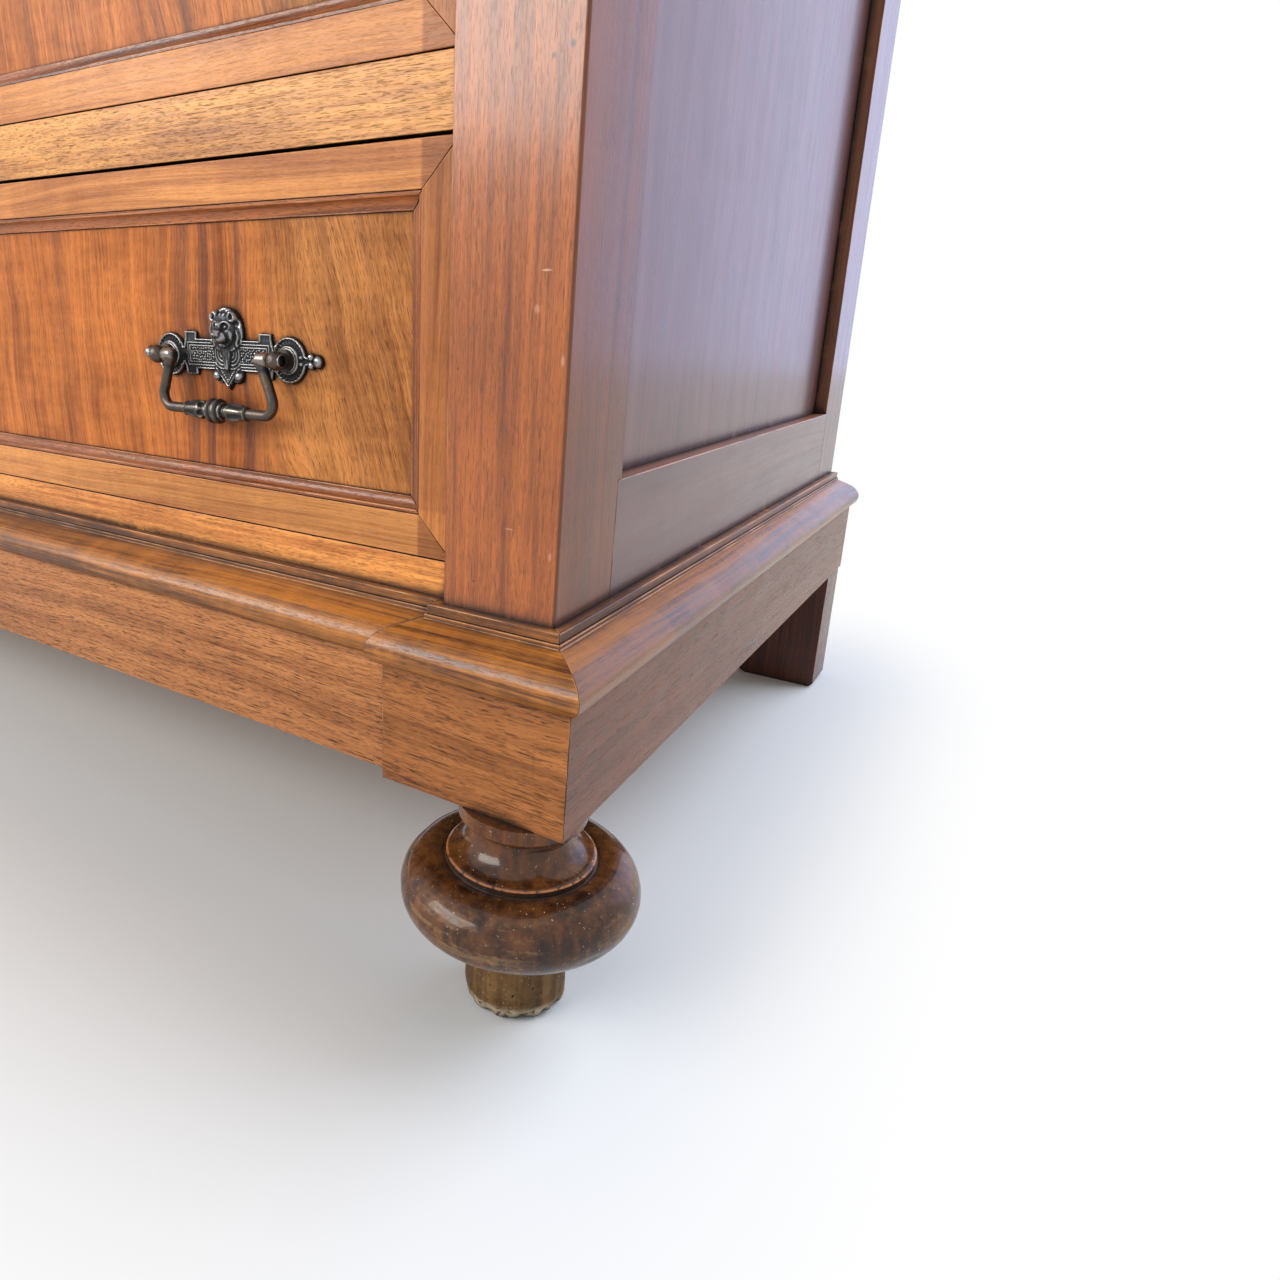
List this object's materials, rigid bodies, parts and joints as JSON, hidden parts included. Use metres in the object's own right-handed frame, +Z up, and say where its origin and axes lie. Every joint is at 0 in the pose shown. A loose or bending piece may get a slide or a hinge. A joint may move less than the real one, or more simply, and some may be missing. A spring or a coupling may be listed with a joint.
{
  "type": "chest of drawers",
  "caption": "Walnut chest of long drawers with swinging cast bail handles, a moulded stepped plinth, turned bun feet in front and plain feet behind.",
  "frame": {"origin": "on the floor, under the middle of the bounding box", "axes": "+X to the right as one faces the drawers, +Y to the back, +Z up; the drawers face -Y"},
  "size_m": [1.1494, 0.5975, 0.8595],
  "materials": {
    "walnut": "satin polished",
    "figured_walnut": "satin polished",
    "dark_walnut": "worn polish",
    "secondary_timber": "bare",
    "cast_metal": "dark patina"
  },
  "bodies": {
    "carcase": {"front_post_right": "walnut", "front_post_left": "walnut", "rear_posts": "walnut", "side_rails": "walnut", "side_panel_right": "walnut", "side_panel_left": "walnut", "front_rails": "walnut", "plinth_backing_rail": "secondary_timber", "drawer_runners": "secondary_timber", "drawer_guides": "secondary_timber", "drawer_stops": "secondary_timber", "back_rails": "secondary_timber", "back_panels": "secondary_timber", "top_board": "walnut", "plinth_front_board": "walnut", "plinth_corner_blocks": "walnut", "plinth_side_boards": "walnut", "base_moulding_front": "walnut", "base_moulding_corners": "walnut", "base_moulding_sides": "walnut", "base_fillets": "walnut", "front_foot_right": "dark_walnut", "front_foot_left": "dark_walnut", "rear_feet": "dark_walnut"},
    "drawer_1": {"drawer_1_front_board": "figured_walnut", "drawer_1_front_frame": "figured_walnut", "drawer_1_field_moulding": "figured_walnut", "drawer_1_side_right": "secondary_timber", "drawer_1_side_left": "secondary_timber", "drawer_1_back": "secondary_timber", "drawer_1_bottom": "secondary_timber", "drawer_1_handle_plates": "cast_metal", "drawer_1_handle_posts": "cast_metal", "drawer_1_handle_nuts": "cast_metal"},
    "drawer_1_bail_right": {"drawer_1_bail_right": "cast_metal"},
    "drawer_1_bail_left": {"drawer_1_bail_left": "cast_metal"},
    "drawer_2": {"drawer_2_front_board": "figured_walnut", "drawer_2_front_frame": "figured_walnut", "drawer_2_field_moulding": "figured_walnut", "drawer_2_side_right": "secondary_timber", "drawer_2_side_left": "secondary_timber", "drawer_2_back": "secondary_timber", "drawer_2_bottom": "secondary_timber", "drawer_2_handle_plates": "cast_metal", "drawer_2_handle_posts": "cast_metal", "drawer_2_handle_nuts": "cast_metal"},
    "drawer_2_bail_right": {"drawer_2_bail_right": "cast_metal"},
    "drawer_2_bail_left": {"drawer_2_bail_left": "cast_metal"},
    "drawer_3": {"drawer_3_front_board": "figured_walnut", "drawer_3_front_frame": "figured_walnut", "drawer_3_field_moulding": "figured_walnut", "drawer_3_side_right": "secondary_timber", "drawer_3_side_left": "secondary_timber", "drawer_3_back": "secondary_timber", "drawer_3_bottom": "secondary_timber", "drawer_3_handle_plates": "cast_metal", "drawer_3_handle_posts": "cast_metal", "drawer_3_handle_nuts": "cast_metal"},
    "drawer_3_bail_right": {"drawer_3_bail_right": "cast_metal"},
    "drawer_3_bail_left": {"drawer_3_bail_left": "cast_metal"}
  },
  "joints": [
    {"name": "drawer_1_slide", "type": "slide", "parent": "carcase", "child": "drawer_1", "axis": [0, -1, 0], "range_m": [0, 0.4]},
    {"name": "drawer_1_bail_right_pivot", "type": "hinge", "parent": "drawer_1", "child": "drawer_1_bail_right", "pos_m": [0.326, -0.24305, 0.2944], "axis": [-1, 0, 0], "range_deg": [-8, 170]},
    {"name": "drawer_1_bail_left_pivot", "type": "hinge", "parent": "drawer_1", "child": "drawer_1_bail_left", "pos_m": [-0.326, -0.24305, 0.2944], "axis": [-1, 0, 0], "range_deg": [-8, 170]},
    {"name": "drawer_2_slide", "type": "slide", "parent": "carcase", "child": "drawer_2", "axis": [0, -1, 0], "range_m": [0, 0.4]},
    {"name": "drawer_2_bail_right_pivot", "type": "hinge", "parent": "drawer_2", "child": "drawer_2_bail_right", "pos_m": [0.326, -0.24305, 0.5034], "axis": [-1, 0, 0], "range_deg": [-8, 170]},
    {"name": "drawer_2_bail_left_pivot", "type": "hinge", "parent": "drawer_2", "child": "drawer_2_bail_left", "pos_m": [-0.326, -0.24305, 0.5034], "axis": [-1, 0, 0], "range_deg": [-8, 170]},
    {"name": "drawer_3_slide", "type": "slide", "parent": "carcase", "child": "drawer_3", "axis": [0, -1, 0], "range_m": [0, 0.4]},
    {"name": "drawer_3_bail_right_pivot", "type": "hinge", "parent": "drawer_3", "child": "drawer_3_bail_right", "pos_m": [0.326, -0.24305, 0.7124], "axis": [-1, 0, 0], "range_deg": [-8, 170]},
    {"name": "drawer_3_bail_left_pivot", "type": "hinge", "parent": "drawer_3", "child": "drawer_3_bail_left", "pos_m": [-0.326, -0.24305, 0.7124], "axis": [-1, 0, 0], "range_deg": [-8, 170]}
  ]
}
